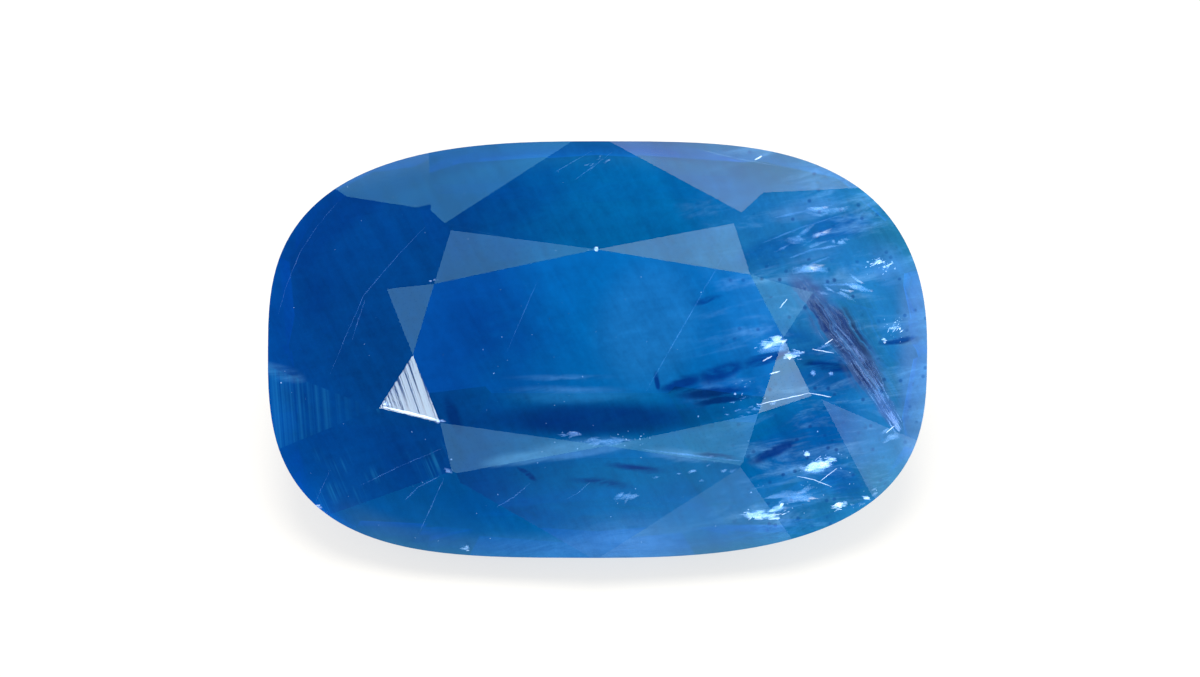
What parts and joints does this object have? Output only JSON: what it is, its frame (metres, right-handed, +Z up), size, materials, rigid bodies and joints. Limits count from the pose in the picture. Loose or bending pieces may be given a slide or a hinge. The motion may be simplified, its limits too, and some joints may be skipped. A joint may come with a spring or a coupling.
{
  "type": "cushion-cut sapphire",
  "caption": "Loose faceted blue gemstone, elongated cushion outline, brilliant crown and keeled pavilion, lying on a pavilion facet with its table tipped forward.",
  "frame": {"origin": "on the surface that the stone lies on, under the middle of its bounding box", "axes": "+X along the stone's length, -Y towards the side that the table is tipped to, +Z up"},
  "size_m": [0.01, 0.0052, 0.0046],
  "materials": {
    "sapphire": "polished"
  },
  "bodies": {
    "root": {"sapphire": "sapphire"}
  },
  "joints": []
}
